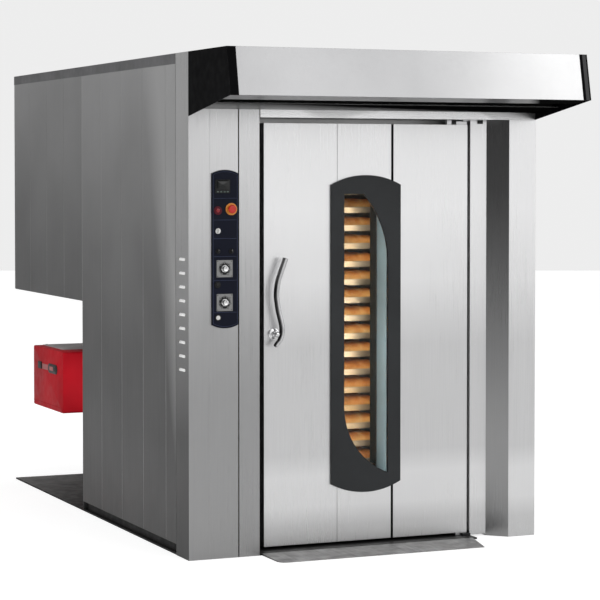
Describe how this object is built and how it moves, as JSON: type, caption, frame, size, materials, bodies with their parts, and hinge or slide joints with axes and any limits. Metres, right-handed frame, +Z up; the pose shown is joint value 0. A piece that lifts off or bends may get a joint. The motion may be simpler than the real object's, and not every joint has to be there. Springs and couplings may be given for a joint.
{
  "type": "rotating rack oven",
  "caption": "Free-standing oven cabinet with a front canopy, a swing door with a tall window, a turning rack of loaves inside and a burner in a niche at the left rear.",
  "frame": {"origin": "middle of the footprint on the floor", "axes": "+X to the right and -Y to the front as seen by someone who faces the door, +Z up; the oven is longest along Y"},
  "size_m": [1.745, 3.287, 2.32],
  "materials": {
    "brushed_front": "satin, upright brushed grain",
    "side_steel": "satin, darker brushed grain",
    "dark_steel": "matt dark",
    "dark_trim": "satin dark",
    "black_paint": "satin black",
    "chamber_steel": "satin stainless steel",
    "wool": "mineral wool",
    "cast": "cast and painted iron and steel",
    "red_paint": "gloss red",
    "panel_plastic": "dark blue-black overlay",
    "dial_metal": "satin scale plates",
    "yellow_plastic": "gloss",
    "red_plastic": "gloss",
    "black_plastic": "gloss",
    "white_plastic": "gloss",
    "door_edge_steel": "steel-clad mineral wool core",
    "glass": "clear tempered glass",
    "seal_rubber": "silicone seal",
    "chrome": "polished",
    "tray_aluminium": "baked aluminium",
    "crust": "golden-brown crust",
    "wheel_black": "heat-resistant wheel"
  },
  "bodies": {
    "oven_body": {"base_plate": "dark_steel", "corner_post": "brushed_front", "channel_cover": "brushed_front", "left_jamb": "brushed_front", "header_panel": "brushed_front", "right_pillar": "brushed_front", "hinge_jamb": "brushed_front", "door_portal": "black_paint", "left_side_panels": "side_steel", "right_side_panels": "side_steel", "rear_panels": "side_steel", "niche_walls": "side_steel", "roof_deck": "side_steel", "roof_trim": "dark_trim", "canopy_hood": "brushed_front", "canopy_end_caps": "black_paint", "canopy_baffle": "side_steel", "chamber_walls": "chamber_steel", "chamber_floor": "chamber_steel", "insulation": "wool", "heat_exchanger": "cast", "roof_collars": "chamber_steel", "fan_motor": "cast", "gearmotor": "cast", "burner_casing": "red_paint", "burner_tube": "cast", "steam_generator": "cast", "ramp": "side_steel", "strike_plate": "chamber_steel", "pivot_brackets": "chamber_steel", "control_panel": "panel_plastic", "dial_plates": "dial_metal", "estop_collar": "yellow_plastic"},
    "door": {"door_outer_skins": "brushed_front", "door_core": "door_edge_steel", "door_inner_skin": "chamber_steel", "window_frame": "black_paint", "window_glass": "glass", "window_liner": "chamber_steel", "door_gasket": "seal_rubber", "lamp_housing": "chamber_steel", "pivot_bosses": "chamber_steel"},
    "handle": {"handle_lever": "chrome", "latch_arm": "chamber_steel"},
    "rack": {"rack_hanger": "chamber_steel", "rack_frame": "chamber_steel", "trays": "tray_aluminium", "loaves": "crust"},
    "front_castors": {"front_wheels": "wheel_black"},
    "rear_castors": {"rear_wheels": "wheel_black"},
    "fan": {"fan_impeller": "chamber_steel"},
    "estop": {"estop_button": "red_plastic"},
    "red_push": {"red_button": "red_plastic"},
    "black_push": {"black_button": "black_plastic"},
    "white_push": {"white_button": "white_plastic"},
    "mode_knob": {"mode_selector": "dial_metal"},
    "left_switch": {"left_knob": "black_plastic"},
    "right_switch": {"right_knob": "black_plastic"},
    "upper_dial": {"upper_dial_knob": "black_plastic"},
    "lower_dial": {"lower_dial_knob": "black_plastic"}
  },
  "joints": [
    {"name": "door_swing", "type": "hinge", "parent": "oven_body", "child": "door", "pos_m": [0.5225, -1.0295, 0.98], "axis": [0, 0, 1], "range_deg": [0, 110]},
    {"name": "handle_turn", "type": "hinge", "parent": "door", "child": "handle", "pos_m": [-0.4345, -1.0395, 0.988], "axis": [0, 1, 0], "range_deg": [0, 85]},
    {"name": "rack_turn", "type": "hinge", "parent": "oven_body", "child": "rack", "pos_m": [0.036, -0.3035, 1], "axis": [0, 0, 1], "continuous": true},
    {"name": "front_castor_spin", "type": "hinge", "parent": "rack", "child": "front_castors", "pos_m": [0.036, -0.6585, 0.072], "axis": [1, 0, 0], "continuous": true},
    {"name": "rear_castor_spin", "type": "hinge", "parent": "rack", "child": "rear_castors", "pos_m": [0.036, 0.0515, 0.072], "axis": [1, 0, 0], "continuous": true},
    {"name": "fan_spin", "type": "hinge", "parent": "oven_body", "child": "fan", "pos_m": [0.036, 0.3515, 1.5], "axis": [0, 1, 0], "continuous": true},
    {"name": "estop_press", "type": "slide", "parent": "oven_body", "child": "estop", "axis": [0, 1, 0], "range_m": [0, 0.006]},
    {"name": "red_press", "type": "slide", "parent": "oven_body", "child": "red_push", "axis": [0, 1, 0], "range_m": [0, 0.004], "stiffness_N_per_m": 400},
    {"name": "black_press", "type": "slide", "parent": "oven_body", "child": "black_push", "axis": [0, 1, 0], "range_m": [0, 0.004], "stiffness_N_per_m": 400},
    {"name": "white_press", "type": "slide", "parent": "oven_body", "child": "white_push", "axis": [0, 1, 0], "range_m": [0, 0.004], "stiffness_N_per_m": 400},
    {"name": "mode_turn", "type": "hinge", "parent": "oven_body", "child": "mode_knob", "pos_m": [-0.7375, -1.1515, 1.459], "axis": [0, 1, 0], "range_deg": [-45, 45]},
    {"name": "left_switch_turn", "type": "hinge", "parent": "oven_body", "child": "left_switch", "pos_m": [-0.7375, -1.1515, 1.369], "axis": [0, 1, 0], "range_deg": [-45, 45]},
    {"name": "right_switch_turn", "type": "hinge", "parent": "oven_body", "child": "right_switch", "pos_m": [-0.6735, -1.1515, 1.369], "axis": [0, 1, 0], "range_deg": [-45, 45]},
    {"name": "upper_dial_turn", "type": "hinge", "parent": "oven_body", "child": "upper_dial", "pos_m": [-0.7055, -1.1515, 1.292], "axis": [0, 1, 0], "range_deg": [0, 300]},
    {"name": "lower_dial_turn", "type": "hinge", "parent": "oven_body", "child": "lower_dial", "pos_m": [-0.7055, -1.1515, 1.142], "axis": [0, 1, 0], "range_deg": [0, 300]}
  ]
}
